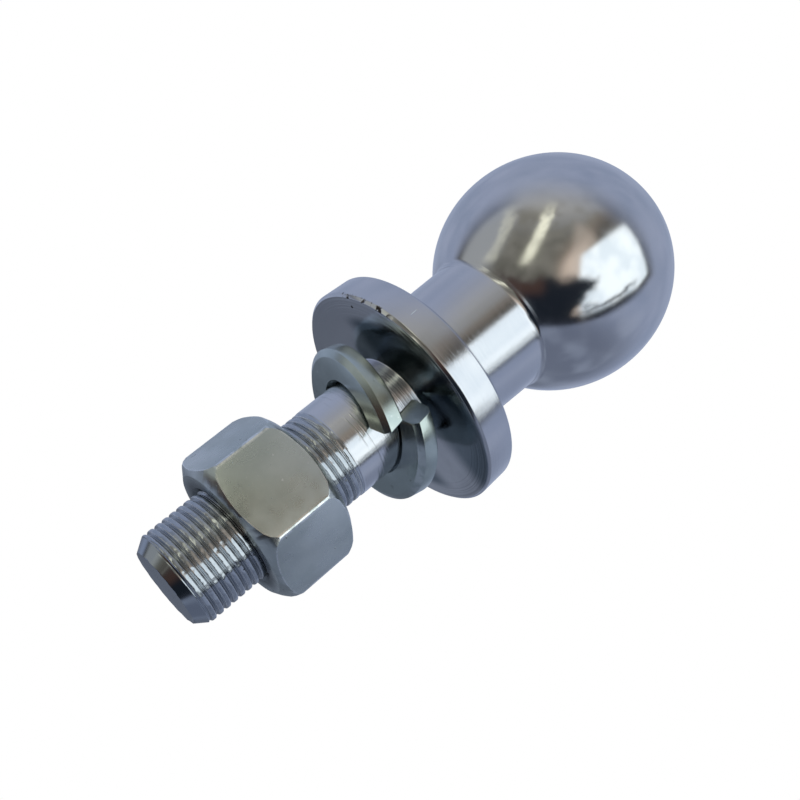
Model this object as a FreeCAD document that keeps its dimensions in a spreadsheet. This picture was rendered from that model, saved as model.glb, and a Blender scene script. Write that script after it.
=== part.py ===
import FreeCAD, Part
import math
import os
import Sketcher
from FreeCAD import Vector, Rotation, Placement

# Tow ball with a threaded shank, a split spring washer and a hexagon nut.
# Millimetres, +Z up along the shank towards the ball. The origin is the ball's centre.
# One flat of the nut faces -Y.

doc = FreeCAD.newDocument("tow_ball")

# Sizes

sheet = doc.addObject("Spreadsheet::Sheet", "Sizes")
sizes = [
    ("ball_dia", 47.625, "ball, one and seven eighths of an inch"),
    ("seat_to_ball", 44.5, "flange's under face to the ball's centre"),
    ("neck_base_dia", 27.8, "neck where it leaves the flange"),
    ("neck_top_dia", 28.6, "neck where it meets the ball"),
    ("neck_base_fillet", 1.5, "hollow corner between flange and neck"),
    ("neck_top_fillet", 1.8, "hollow corner between neck and ball"),
    ("flange_dia", 47.4, "widest part of the flange, just behind the seat's edge"),
    ("flange_back_dia", 46.9, "rim at its back edge, turned slightly smaller"),
    ("seat_edge", 0.5, "bevel round the seat"),
    ("rim_length", 6.35, "rim from the seat to its back edge"),
    ("shoulder_dia", 42.6, "where the sloping back edge turns into the back face"),
    ("shoulder_height", 7.7, "height of that corner above the seat"),
    ("back_height", 8.6, "height of the back face at the neck"),
    ("shank_dia", 19.05, "plain shank, three quarters of an inch"),
    ("shank_length", 54.9, "seat to the end of the shank"),
    ("crest_dia", 18.9, "thread over its crests"),
    ("thread_length", 37.9, "end of the shank to the end of the thread"),
    ("end_lead", 2.5, "length of the tapered end"),
    ("end_face_dia", 15.4, "flat face at the end"),
    ("across_flats", 27.9, "nut, sold as one and one eighth of an inch and a little under it"),
    ("nut_height", 16.8, "nut from face to face"),
    ("nut_drop", 40.4, "seat to the nut's lower face"),
    ("nut_face_ratio", 0.95, "circle left on each nut face, as a share of across_flats"),
    ("nut_bevel_angle", 30.0, "angle of the nut's corner bevels"),
    ("thread_clearance", 0.1, "nut's bore to the thread's crests, on the radius"),
    ("nut_corner", 0.6, "rounding of the nut's six corners"),
    ("nut_sink", 0.9, "countersink at each end of the nut's bore"),
    ("washer_inner_dia", 20.0, "spring washer's hole"),
    ("washer_outer_dia", 31.8, "spring washer's outside"),
    ("washer_thick", 4.3, "spring washer's section along its axis"),
    ("washer_bevel_width", 1.3, "outer bevel, across"),
    ("washer_bevel_depth", 0.8, "outer bevel, along the axis"),
    ("washer_lead", 5.75, "how far one turn of the washer climbs"),
    ("washer_gap_angle", 2.7, "opening between the ends, in the washer's own plane"),
    ("washer_gap_turn", 26.7, "turn of the opening from -Y"),
    ("washer_slant", 20.0, "slant of the cut ends across the section"),
    ("washer_skew", 14.0, "turn of the cut ends away from the radius"),
    ("washer_spare", 22.0, "turn wound past each cut and then cut away"),
    ("washer_drop", 7.0, "seat to the middle of the washer"),
    ("washer_cock", 12.4, "how far the washer leans on the shank"),
    ("washer_cock_turn", 121.0, "turn of the axis that it leans about, from +X"),
]
for row, (name, value, note) in enumerate(sizes, start=1):
    sheet.set("A%d" % row, name)
    sheet.set("B%d" % row, "%.4f" % value)
    sheet.set("C%d" % row, note)
    sheet.setAlias("B%d" % row, name)
doc.recompute()


def size(name):
    return float(sheet.get(name))


# Helpers for sketches whose every corner is bound to the sheet

def origin_plane(body, role):
    for feature in body.Origin.OriginFeatures:
        if feature.Role == role:
            return feature
    raise RuntimeError("no plane " + role)


def bound(expression):
    return expression.replace("[", "Sizes.").replace("]", "")


def value_of(expression):
    text = expression
    for name, _, _ in sizes:
        text = text.replace("[" + name + "]", "%r" % size(name))
    holder = sheet.evalExpression(text)
    return float(getattr(holder, "Value", holder))


def hold(sketch, kind, geo, pos, expression):
    value = value_of(expression)
    axis = -2 if kind == "DistanceX" else -1
    if abs(value) < 1e-9:
        sketch.addConstraint(Sketcher.Constraint("PointOnObject", geo, pos, axis))
        return
    if value > 0:
        index = sketch.addConstraint(Sketcher.Constraint(kind, -1, 1, geo, pos, value))
        text = bound(expression)
    else:
        index = sketch.addConstraint(Sketcher.Constraint(kind, geo, pos, -1, 1, -value))
        text = "-(" + bound(expression) + ")"
    sketch.setExpression("Constraints[%d]" % index, text)


def outline(body, name, role, corners):
    # corners: (across, up) pairs of expressions, joined by straight lines into a closed outline
    sketch = body.newObject("Sketcher::SketchObject", name)
    sketch.AttachmentSupport = [(origin_plane(body, role), "")]
    sketch.MapMode = "FlatFace"
    points = [Vector(value_of(x), value_of(y), 0) for x, y in corners]
    count = len(points)
    for k in range(count):
        sketch.addGeometry(Part.LineSegment(points[k], points[(k + 1) % count]), False)
    for k in range(count):
        sketch.addConstraint(Sketcher.Constraint("Coincident", k, 2, (k + 1) % count, 1))
    for k, (x, y) in enumerate(corners):
        hold(sketch, "DistanceX", k, 1, x)
        hold(sketch, "DistanceY", k, 1, y)
    doc.recompute()
    return sketch


def turn(body, kind, name, sketch):
    feature = body.newObject(kind, name)
    feature.Profile = sketch
    feature.ReferenceAxis = (sketch, ["V_Axis"])
    feature.Angle = 360.0
    doc.recompute()
    return feature


def corner_arc(before, corner, after, radius):
    # the two ends and the centre of an arc that rounds off the corner
    first = (before - corner).normalize()
    second = (after - corner).normalize()
    half_angle = first.getAngle(second) / 2
    reach = radius / math.tan(half_angle)
    middle = (first + second).normalize()
    return corner + first * reach, corner + second * reach, corner + middle * (radius / math.sin(half_angle))


def angle_from(centre, point):
    return math.atan2(point.y - centre.y, point.x - centre.x)


def circle_edges(feature, radius, height):
    found = []
    for k, edge in enumerate(feature.Shape.Edges, start=1):
        if edge.Degenerated:
            continue
        curve = edge.Curve
        if isinstance(curve, Part.Circle) and abs(curve.Radius - radius) < 0.02:
            if abs(curve.Center.z - height) < 0.02:
                found.append("Edge%d" % k)
    if not found:
        raise RuntimeError("no round edge of radius %.3f at height %.3f" % (radius, height))
    return found


# Ball stud: ball, neck, flange and shank turned from one piece

stud = doc.addObject("PartDesign::Body", "BallStud")
stud.Label = "ball_stud"
turned = stud.newObject("Sketcher::SketchObject", "TurnedOutline")
turned.AttachmentSupport = [(origin_plane(stud, "XZ_Plane"), "")]
turned.MapMode = "FlatFace"

ball_radius = size("ball_dia") / 2
neck_top = size("neck_top_dia") / 2
neck_meets_ball = -math.sqrt(ball_radius ** 2 - neck_top ** 2)
stud_corners = [
    ("0", "-[seat_to_ball] - [shank_length]"),
    ("[end_face_dia] / 2", "-[seat_to_ball] - [shank_length]"),
    ("[crest_dia] / 2", "-[seat_to_ball] - [shank_length] + [end_lead]"),
    ("[crest_dia] / 2", "-[seat_to_ball] - [shank_length] + [thread_length]"),
    ("[shank_dia] / 2", "-[seat_to_ball] - [shank_length] + [thread_length] + 0.15"),
    ("[shank_dia] / 2", "-[seat_to_ball]"),
    ("[flange_dia] / 2 - [seat_edge]", "-[seat_to_ball]"),
    ("[flange_dia] / 2", "-[seat_to_ball] + [seat_edge]"),
    ("[flange_back_dia] / 2", "-[seat_to_ball] + [rim_length]"),
    ("[shoulder_dia] / 2", "-[seat_to_ball] + [shoulder_height]"),
    ("[neck_base_dia] / 2", "-[seat_to_ball] + [back_height]"),
]
points = [Vector(value_of(x), value_of(y), 0) for x, y in stud_corners]
foot_radius = size("neck_base_fillet")
head_radius = size("neck_top_fillet")
centre = Vector(0, 0, 0)
pole = Vector(0, ball_radius, 0)
neck_foot = points[-1]
neck_head = Vector(neck_top, neck_meets_ball, 0)
foot_start, foot_end, foot_centre = corner_arc(points[-2], neck_foot, neck_head, foot_radius)
# the upper hollow's centre lies its own radius from the neck and as far outside the ball
neck_way = (neck_head - neck_foot).normalize()
side_way = Vector(neck_way.y, -neck_way.x, 0)
offset = (neck_foot + side_way * head_radius).dot(side_way)
down = math.sqrt((ball_radius + head_radius) ** 2 - offset ** 2)
head_centre = side_way * offset - neck_way * down
head_start = head_centre - side_way * head_radius
head_end = head_centre * (ball_radius / (ball_radius + head_radius))

straight = points[:-1] + [foot_start]
count = len(straight)
for k in range(count - 1):
    turned.addGeometry(Part.LineSegment(straight[k], straight[k + 1]), False)
back_line = count - 2


def add_arc(middle, radius, first, last):
    circle = Part.Circle(middle, Vector(0, 0, 1), radius)
    arc = Part.ArcOfCircle(circle, angle_from(middle, first), angle_from(middle, last))
    return turned.addGeometry(arc, False)


foot_arc = add_arc(foot_centre, foot_radius, foot_end, foot_start)
neck_line = turned.addGeometry(Part.LineSegment(foot_end, head_start), False)
head_arc = add_arc(head_centre, head_radius, head_end, head_start)
ball_arc = add_arc(centre, ball_radius, head_end, pole)
axis_line = turned.addGeometry(Part.LineSegment(pole, points[0]), False)
foot_corner = turned.addGeometry(Part.Point(neck_foot), True)
head_corner = turned.addGeometry(Part.Point(neck_head), True)
for k in range(count - 2):
    turned.addConstraint(Sketcher.Constraint("Coincident", k, 2, k + 1, 1))
turned.addConstraint(Sketcher.Constraint("Tangent", back_line, 2, foot_arc, 2))
turned.addConstraint(Sketcher.Constraint("Tangent", foot_arc, 1, neck_line, 1))
turned.addConstraint(Sketcher.Constraint("Tangent", neck_line, 2, head_arc, 2))
turned.addConstraint(Sketcher.Constraint("Tangent", head_arc, 1, ball_arc, 1))
turned.addConstraint(Sketcher.Constraint("Coincident", ball_arc, 2, axis_line, 1))
turned.addConstraint(Sketcher.Constraint("Coincident", axis_line, 2, 0, 1))
for k, (x, y) in enumerate(stud_corners[:-1]):
    hold(turned, "DistanceX", k, 1, x)
    hold(turned, "DistanceY", k, 1, y)
hold(turned, "DistanceX", foot_corner, 1, stud_corners[-1][0])
hold(turned, "DistanceY", foot_corner, 1, stud_corners[-1][1])
turned.addConstraint(Sketcher.Constraint("PointOnObject", foot_corner, 1, back_line))
turned.addConstraint(Sketcher.Constraint("PointOnObject", foot_corner, 1, neck_line))
hold(turned, "DistanceX", head_corner, 1, "[neck_top_dia] / 2")
turned.addConstraint(Sketcher.Constraint("PointOnObject", head_corner, 1, ball_arc))
turned.addConstraint(Sketcher.Constraint("PointOnObject", head_corner, 1, neck_line))
turned.addConstraint(Sketcher.Constraint("Coincident", ball_arc, 3, -1, 1))
turned.addConstraint(Sketcher.Constraint("PointOnObject", ball_arc, 2, -2))
for arc, start_value, text in (
        (ball_arc, ball_radius, "Sizes.ball_dia / 2"),
        (foot_arc, foot_radius, "Sizes.neck_base_fillet"),
        (head_arc, head_radius, "Sizes.neck_top_fillet")):
    index = turned.addConstraint(Sketcher.Constraint("Radius", arc, start_value))
    turned.setExpression("Constraints[%d]" % index, text)
doc.recompute()
turn(stud, "PartDesign::Revolution", "Turned", turned)
seat = -size("seat_to_ball")

# Hexagon nut: a hexagonal bar length, bored, with both ends turned to a cone

nut = doc.addObject("PartDesign::Body", "HexNut")
nut.Label = "hex_nut"
hexagon = nut.newObject("Sketcher::SketchObject", "Hexagon")
hexagon.AttachmentSupport = [(origin_plane(nut, "XY_Plane"), "")]
hexagon.MapMode = "FlatFace"
corner_radius = size("across_flats") / math.sqrt(3)
ring = [Vector(corner_radius * math.cos(math.radians(60 * k)),
               corner_radius * math.sin(math.radians(60 * k)), 0) for k in range(6)]
for k in range(6):
    hexagon.addGeometry(Part.LineSegment(ring[k], ring[(k + 1) % 6]), False)
guide = hexagon.addGeometry(Part.Circle(Vector(0, 0, 0), Vector(0, 0, 1), corner_radius), True)
for k in range(6):
    hexagon.addConstraint(Sketcher.Constraint("Coincident", k, 2, (k + 1) % 6, 1))
    hexagon.addConstraint(Sketcher.Constraint("PointOnObject", k, 1, guide))
for k in range(1, 6):
    hexagon.addConstraint(Sketcher.Constraint("Equal", 0, k))
hexagon.addConstraint(Sketcher.Constraint("Coincident", guide, 3, -1, 1))
hexagon.addConstraint(Sketcher.Constraint("PointOnObject", 0, 1, -1))
index = hexagon.addConstraint(Sketcher.Constraint("Radius", guide, corner_radius))
hexagon.setExpression("Constraints[%d]" % index, "Sizes.across_flats / sqrt(3)")
doc.recompute()
bar = nut.newObject("PartDesign::Pad", "Bar")
bar.Profile = hexagon
bar.Length = size("nut_height")
bar.setExpression("Length", "Sizes.nut_height")
doc.recompute()

corners = nut.newObject("PartDesign::Fillet", "Corners")
upright = []
for k, edge in enumerate(bar.Shape.Edges, start=1):
    low, high = edge.Vertexes[0].Point.z, edge.Vertexes[-1].Point.z
    if abs(high - low) > size("nut_height") / 2:
        upright.append("Edge%d" % k)
corners.Base = (bar, upright)
corners.Radius = size("nut_corner")
corners.setExpression("Radius", "Sizes.nut_corner")
doc.recompute()

bore = nut.newObject("Sketcher::SketchObject", "BoreCircle")
bore.AttachmentSupport = [(origin_plane(nut, "XY_Plane"), "")]
bore.MapMode = "FlatFace"
bore_radius = size("crest_dia") / 2 + size("thread_clearance")
bore.addGeometry(Part.Circle(Vector(0, 0, 0), Vector(0, 0, 1), bore_radius), False)
bore.addConstraint(Sketcher.Constraint("Coincident", 0, 3, -1, 1))
index = bore.addConstraint(Sketcher.Constraint("Radius", 0, bore_radius))
bore.setExpression("Constraints[%d]" % index, "Sizes.crest_dia / 2 + Sizes.thread_clearance")
doc.recompute()
drilled = nut.newObject("PartDesign::Pocket", "Bored")
drilled.Profile = bore
drilled.Type = "ThroughAll"
drilled.Reversed = True
doc.recompute()

# The bevel's outline is a triangle outside the nut, turned round the axis at each end
face = "[across_flats] * [nut_face_ratio] / 2"
reach = "[across_flats] * 0.65"
fall = "([across_flats] * 0.65 - " + face + ") * tan([nut_bevel_angle] * 1 deg)"
upper = outline(nut, "UpperBevelOutline", "XZ_Plane", [
    (face, "[nut_height]"),
    (reach, "[nut_height]"),
    (reach, "[nut_height] - " + fall),
])
turn(nut, "PartDesign::Groove", "UpperBevel", upper)
lower = outline(nut, "LowerBevelOutline", "XZ_Plane", [
    (face, "0"),
    (reach, "0"),
    (reach, fall),
])
nut_bevelled = turn(nut, "PartDesign::Groove", "LowerBevel", lower)
sinks = nut.newObject("PartDesign::Chamfer", "Countersinks")
sink_edges = circle_edges(nut_bevelled, bore_radius, 0.0)
sink_edges += circle_edges(nut_bevelled, bore_radius, size("nut_height"))
sinks.Base = (nut_bevelled, sink_edges)
sinks.Size = size("nut_sink")
sinks.setExpression("Size", "Sizes.nut_sink")
nut.setExpression("Placement.Base.z", "-(Sizes.seat_to_ball + Sizes.nut_drop)")
doc.recompute()

# Spring washer: one turn of a bevelled section wound to a left-hand helix, leaning on the shank

washer = doc.addObject("PartDesign::Body", "LockWasher")
washer.Label = "lock_washer"
inner = "[washer_inner_dia] / 2"
outer = "[washer_outer_dia] / 2"
half = "[washer_thick] / 2"
section = outline(washer, "Section", "XZ_Plane", [
    (inner, "-" + half),
    (outer + " - [washer_bevel_width]", "-" + half),
    (outer, "-(" + half + " - [washer_bevel_depth])"),
    (outer, half + " - [washer_bevel_depth]"),
    (outer + " - [washer_bevel_width]", half),
    (inner, half),
])
coil = washer.newObject("PartDesign::AdditiveHelix", "Coil")
coil.Profile = section
coil.ReferenceAxis = (section, ["V_Axis"])
coil.Mode = "pitch-turns-angle"
coil.Pitch = size("washer_lead")
coil.Turns = 1.0 + 2 * size("washer_spare") / 360.0
coil.LeftHanded = True
coil.Reversed = True
coil.setExpression("Pitch", "Sizes.washer_lead")
coil.setExpression("Turns", "1 + 2 * Sizes.washer_spare / 360")
doc.recompute()

# Each end is cut off square to neither the radius nor the axis: a four-cornered slab is
# pushed through it along the slant. The coil starts on +X and climbs down as it turns.


def cut_end(name, turn_angle, centre_drop, side):
    # side -1 cuts away what lies before turn_angle, +1 what lies after it
    slant = math.tan(math.radians(size("washer_slant")))
    along = math.radians(turn_angle)
    out = Vector(math.cos(along), math.sin(along), 0)
    on = Vector(-math.sin(along), math.cos(along), 0)
    apart = size("washer_lead") - size("washer_thick")
    start = -size("washer_lead") / 2 - size("washer_spare") / 360 * size("washer_lead")
    start -= side * apart / 5
    climb = -centre_drop - start
    radius = size("washer_outer_dia") / 2
    width = (size("washer_outer_dia") - size("washer_inner_dia")) / 2
    skew = math.tan(math.radians(size("washer_skew")))
    foot = out * radius + on * (climb * slant)
    far = foot + out * 2 + on * (2 * skew)
    near = foot - out * (width + 2) - on * ((width + 2) * skew)
    sweep = on * (side * (size("washer_spare") / 360 * math.pi * 2 * radius + 3))
    corners = [near, far, far + sweep, near + sweep]
    sketch = washer.newObject("Sketcher::SketchObject", name + "Outline")
    sketch.AttachmentSupport = [(origin_plane(washer, "XY_Plane"), "")]
    sketch.MapMode = "FlatFace"
    sketch.AttachmentOffset = Placement(Vector(0, 0, start), Rotation())
    for k in range(4):
        sketch.addGeometry(Part.LineSegment(corners[k], corners[(k + 1) % 4]), False)
    for k in range(4):
        sketch.addConstraint(Sketcher.Constraint("Coincident", k, 2, (k + 1) % 4, 1))
    for k in range(4):
        sketch.addConstraint(Sketcher.Constraint("Block", k))
    doc.recompute()
    up = 1 if climb > 0 else -1
    cut = washer.newObject("PartDesign::Pocket", name)
    cut.Profile = sketch
    cut.Type = "Length"
    cut.Length = size("washer_lead") + size("washer_thick")
    cut.UseCustomVector = True
    cut.Direction = (Vector(0, 0, 1) - on * slant) * up
    doc.recompute()
    return cut


wound = coil.Shape.Volume
first_turn = size("washer_spare")
last_turn = 360.0 + size("washer_spare") - size("washer_gap_angle")
first_cut = cut_end("FirstEnd", first_turn, first_turn / 360 * size("washer_lead"), -1)
after_first = first_cut.Shape.Volume
last_cut = cut_end("LastEnd", last_turn, last_turn / 360 * size("washer_lead"), 1)
after_last = last_cut.Shape.Volume
print("washer wound %.1f, first end cut %.1f, last end cut %.1f" % (wound, after_first, after_last))
if not wound - 10 > after_first > after_last + 10:
    raise RuntimeError("an end of the washer was not cut")

# The opening is turned to its side, then the washer is leant over
gap_side = -90.0 + size("washer_gap_turn") + size("washer_gap_angle") / 2 - size("washer_spare")
lean_axis = Vector(math.cos(math.radians(size("washer_cock_turn"))),
                   math.sin(math.radians(size("washer_cock_turn"))), 0)
lean = Rotation(lean_axis, size("washer_cock"))
spin = Rotation(Vector(0, 0, 1), gap_side)
half_way = (size("washer_spare") + 180.0) / 360.0 * size("washer_lead")
lift = Placement(Vector(0, 0, half_way), Rotation())
middle = Placement(Vector(0, 0, seat - size("washer_drop")), Rotation())
washer.Placement = middle.multiply(Placement(Vector(), lean.multiply(spin))).multiply(lift)
doc.recompute()

# Checks, then one file for each piece

for item in doc.Objects:
    if "Invalid" in item.State or "Error" in item.State:
        raise RuntimeError("failed: " + item.Name)
os.makedirs("parts", exist_ok=True)
for piece in (stud, nut, washer):
    solid = piece.Shape
    if solid.isNull() or not solid.isValid() or len(solid.Solids) != 1:
        raise RuntimeError("bad solid: " + piece.Label)
    box = solid.BoundBox
    print("%s volume %.1f, z %.3f to %.3f" % (piece.Label, solid.Volume, box.ZMin, box.ZMax))
    solid.exportStep("parts/%s.step" % piece.Label)
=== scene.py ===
# %% [markdown]
# # A tow ball, dressed over its packed solids
# The real part is three pieces: a ball stud turned from one bar and plated bright, a split
# spring washer, and a hexagon nut. The solids already have the right size. This lesson makes
# what the eye wants on top: the cut thread, rounded edges, turning marks, dull and bright
# plating, pits and handling marks. First the frame is loaded and its size is kept.

# %% Load the frame
import math

import bpy
from mathutils import Matrix, Vector


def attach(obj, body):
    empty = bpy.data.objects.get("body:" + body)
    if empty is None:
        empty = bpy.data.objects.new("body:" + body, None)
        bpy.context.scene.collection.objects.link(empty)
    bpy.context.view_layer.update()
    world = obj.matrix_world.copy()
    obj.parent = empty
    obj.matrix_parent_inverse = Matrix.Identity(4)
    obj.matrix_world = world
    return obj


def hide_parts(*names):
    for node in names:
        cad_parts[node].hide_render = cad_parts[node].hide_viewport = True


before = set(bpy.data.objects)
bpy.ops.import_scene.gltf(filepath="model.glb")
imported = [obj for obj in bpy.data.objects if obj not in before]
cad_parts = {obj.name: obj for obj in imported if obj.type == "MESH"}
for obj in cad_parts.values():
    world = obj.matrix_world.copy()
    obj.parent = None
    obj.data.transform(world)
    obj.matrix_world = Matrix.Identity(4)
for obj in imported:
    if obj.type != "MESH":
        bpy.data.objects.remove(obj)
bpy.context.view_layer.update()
mm = 0.001
print("nodes:", sorted(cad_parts))

# %% [markdown]
# The camera stands where the photograph's did: low, in front of the upright stud, rolled so
# that the ball is at the upper right. It could be turned by three angles or by a target to look
# at, but a rolled camera is awkward to give that way. A matrix is built instead, from the
# camera's right, up and back directions.

# %% Camera
CAMERA_PLACE = Vector((28.67, -163.99, -116.97)) * mm
CAMERA_RIGHT = Vector((0.6637, -0.1216, 0.7380)).normalized()
CAMERA_BACK = Vector((0.1902, -0.9268, -0.3239)).normalized()
CAMERA_UP = CAMERA_BACK.cross(CAMERA_RIGHT).normalized()
CAMERA_RIGHT = CAMERA_UP.cross(CAMERA_BACK).normalized()
camera_data = bpy.data.cameras.new("camera")
camera_data.sensor_width = 36.0
camera_data.lens = 43.104
camera_data.shift_x = 0.10272
camera_data.shift_y = 0.03646
camera_data.clip_start = 0.005
camera = bpy.data.objects.new("camera", camera_data)
bpy.context.scene.collection.objects.link(camera)
turned = Matrix((CAMERA_RIGHT, CAMERA_UP, CAMERA_BACK)).transposed().to_4x4()
camera.matrix_world = Matrix.Translation(CAMERA_PLACE) @ turned
bpy.context.scene.camera = camera
bpy.context.scene.view_settings.view_transform = "Standard"
print("camera looks along", (-CAMERA_BACK).to_tuple(3))

# %% [markdown]
# Materials and the studio are graphs of nodes. They could be wired by hand in the editor. In a
# script one small helper class keeps them readable: it adds a node, sets its values, and does
# sums with plain calls, where each call gives a socket to use in the next.


# %% Node helper
class Graph:
    def __init__(self, tree):
        self.tree = tree
        tree.nodes.clear()

    def add(self, kind, **settings):
        node = self.tree.nodes.new(kind)
        for name, value in settings.items():
            setattr(node, name, value)
        return node

    def feed(self, socket, value):
        if hasattr(value, "is_output"):
            self.tree.links.new(value, socket)
        elif value is not None:
            socket.default_value = value

    def calc(self, operation, a, b=None, clamp=False):
        node = self.add("ShaderNodeMath", operation=operation, use_clamp=clamp)
        self.feed(node.inputs[0], a)
        self.feed(node.inputs[1], b)
        return node.outputs[0]

    def plus(self, a, b):
        return self.calc("ADD", a, b)

    def minus(self, a, b):
        return self.calc("SUBTRACT", a, b)

    def times(self, first, *others):
        product = first
        for other in others:
            product = self.calc("MULTIPLY", product, other)
        return product

    def larger(self, a, b):
        return self.calc("MAXIMUM", a, b)

    def away(self, value, at=0.0):
        # how far value is from at, on either side
        return self.calc("ABSOLUTE", self.minus(value, at) if at else value)

    def dot(self, vector, direction):
        node = self.add("ShaderNodeVectorMath", operation="DOT_PRODUCT")
        self.feed(node.inputs[0], vector)
        node.inputs[1].default_value = tuple(direction)
        return node.outputs["Value"]

    def distance(self, vector, spot):
        node = self.add("ShaderNodeVectorMath", operation="DISTANCE")
        self.feed(node.inputs[0], vector)
        node.inputs[1].default_value = tuple(spot)
        return node.outputs["Value"]

    def step(self, value, low, high, to_low=0.0, to_high=1.0):
        # a soft step: to_low at low, to_high at high, and high may be the smaller of the two
        node = self.add("ShaderNodeMapRange", interpolation_type="SMOOTHSTEP")
        self.feed(node.inputs["Value"], value)
        node.inputs["From Min"].default_value = low
        node.inputs["From Max"].default_value = high
        node.inputs["To Min"].default_value = to_low
        node.inputs["To Max"].default_value = to_high
        return node.outputs["Result"]

    def mix(self, mask, under, over):
        # over shows where mask is 1; each is a socket or a colour of three numbers
        node = self.add("ShaderNodeMix", data_type="RGBA")
        self.feed(node.inputs[0], mask)
        for socket, tone in ((node.inputs[6], under), (node.inputs[7], over)):
            self.feed(socket, (*tone, 1.0) if isinstance(tone, tuple) else tone)
        return node.outputs[2]

    def noise(self, where, scale, detail=3.0, rough=0.5, kind="3D"):
        # kind 1D reads noise along one number, for marks that run round the axis
        node = self.add("ShaderNodeTexNoise", noise_dimensions=kind)
        self.feed(node.inputs["W" if kind == "1D" else "Vector"], where)
        node.inputs["Scale"].default_value = scale
        node.inputs["Detail"].default_value = detail
        node.inputs["Roughness"].default_value = rough
        return node.outputs["Fac"]

    def bump(self, height, strength, distance, normal=None):
        node = self.add("ShaderNodeBump")
        node.inputs["Strength"].default_value = strength
        node.inputs["Distance"].default_value = distance
        self.feed(node.inputs["Height"], height)
        self.feed(node.inputs["Normal"], normal)
        return node.outputs["Normal"]


print("node helper ready:", len([name for name in vars(Graph) if name[0] != "_"]), "calls")

# %% [markdown]
# Bright metal is a mirror, so most of its look is the room. A picture of a room could be
# wrapped round the part, but a drawn one needs no file and can be put right bit by bit. It is
# drawn on the world by direction, and only mirrors see it. Three numbers tell where a mirrored
# ray goes: how far to the right, how high, and how near the camera. A line parts the room from
# the paper that the part lay on, and it is softer high up and at the right.

# %% Directions in the room
world = bpy.data.worlds.new("studio")
bpy.context.scene.world = world
world.use_nodes = True
g = Graph(world.node_tree)
way = g.add("ShaderNodeTexCoord").outputs["Generated"]
BALL_TO_CAMERA = CAMERA_PLACE.normalized()
ROOM_RIGHT = (CAMERA_RIGHT - BALL_TO_CAMERA * CAMERA_RIGHT.dot(BALL_TO_CAMERA)).normalized()
ROOM_UP = BALL_TO_CAMERA.cross(ROOM_RIGHT)
side = g.dot(way, ROOM_RIGHT)
rise = g.dot(way, ROOM_UP)
near = g.dot(way, BALL_TO_CAMERA)
below = g.larger(g.times(rise, -1.0), 0.0)
above = g.larger(rise, 0.0)
edge_line = g.plus(g.times(below, 1.2), g.times(above, 0.35))
into_room = g.plus(g.minus(near, edge_line), 0.3)
edge_softness = g.plus(g.times(above, 0.55), 0.06)
edge_softness = g.plus(edge_softness, g.times(g.step(side, 0.62, 0.82), 0.07))
room = g.step(g.calc("DIVIDE", into_room, edge_softness), -0.6, 1.0)
print("room up is", ROOM_UP.to_tuple(3), "and right is", ROOM_RIGHT.to_tuple(3))

# %% [markdown]
# The paper is pale blue with faint clouds. It gets darker low down, and darkest straight under
# the part, which keeps the light off it. A few pale smears break up its lower half.

# %% Paper under the part
cloudy = g.noise(way, 2.6, 4.0, 0.6)
paper = g.mix(g.step(cloudy, 0.3, 0.7), (0.325, 0.385, 0.53), (0.41, 0.465, 0.62))
paper = g.mix(g.step(rise, -0.35, -0.85), paper, (0.185, 0.215, 0.295))
under_part = g.dot(way, ROOM_RIGHT * -0.55 - ROOM_UP * 0.55 - BALL_TO_CAMERA * 0.63)
paper = g.mix(g.step(under_part, 0.76, 0.985), paper, (0.135, 0.155, 0.20))
pale_smear = g.times(g.step(g.noise(way, 2.4, 2.0, 0.5), 0.44, 0.68), g.step(rise, -0.1, -0.5))
paper = g.mix(g.times(pale_smear, 0.42), paper, (0.42, 0.48, 0.61))
print("studio nodes with the paper:", len(world.node_tree.nodes))

# %% [markdown]
# The walls are a warm, mottled grey under a lighter ceiling. Towards the window they turn tan
# and then glow, and above the window is a brown part. Each zone is a mask made of one or two
# soft steps, and its colour is laid over what is there.

# %% Walls and ceiling
walls = g.mix(g.step(rise, 0.45, 0.95), (0.165, 0.16, 0.135), (0.44, 0.44, 0.43))
lamp_line = g.minus(g.times(side, 0.89), g.times(rise, 0.456))
walls = g.mix(g.step(g.noise(way, 4.0, 4.0, 0.6), 0.42, 0.62), walls, (0.26, 0.25, 0.215))
walls = g.mix(g.step(lamp_line, -0.72, -0.92), walls, (0.42, 0.44, 0.455))
window_top = g.minus(g.minus(g.times(side, 0.83), rise), 0.11)
tan_wall = g.times(g.step(side, -0.05, 0.40), g.step(window_top, -0.55, -0.10))
walls = g.mix(tan_wall, walls, (0.36, 0.29, 0.23))
glow = g.times(g.step(side, 0.02, 0.42), g.step(window_top, -0.30, 0.0))
walls = g.mix(glow, walls, (1.05, 0.86, 0.70))
brown = g.times(g.step(window_top, -0.50, -0.16), g.step(side, 0.45, 0.66))
walls = g.mix(brown, walls, (0.13, 0.12, 0.105))
walls = g.mix(g.times(g.step(rise, 0.78, 0.95), 0.65), walls, (0.52, 0.51, 0.465))
light_wall = g.times(g.step(near, 0.52, 0.68), g.step(side, 0.25, 0.42), 0.6)
walls = g.mix(light_wall, walls, (0.62, 0.54, 0.455))
print("studio nodes with the walls:", len(world.node_tree.nodes))

# %% [markdown]
# Two long lamps hang side by side, and a bright window fills the right. Their edges aren't
# ruled: noise frays them, as plating that isn't quite even does in the real mirror. The room's
# edge is dark beside the window, and a dark, ragged line runs through its low end.

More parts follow.
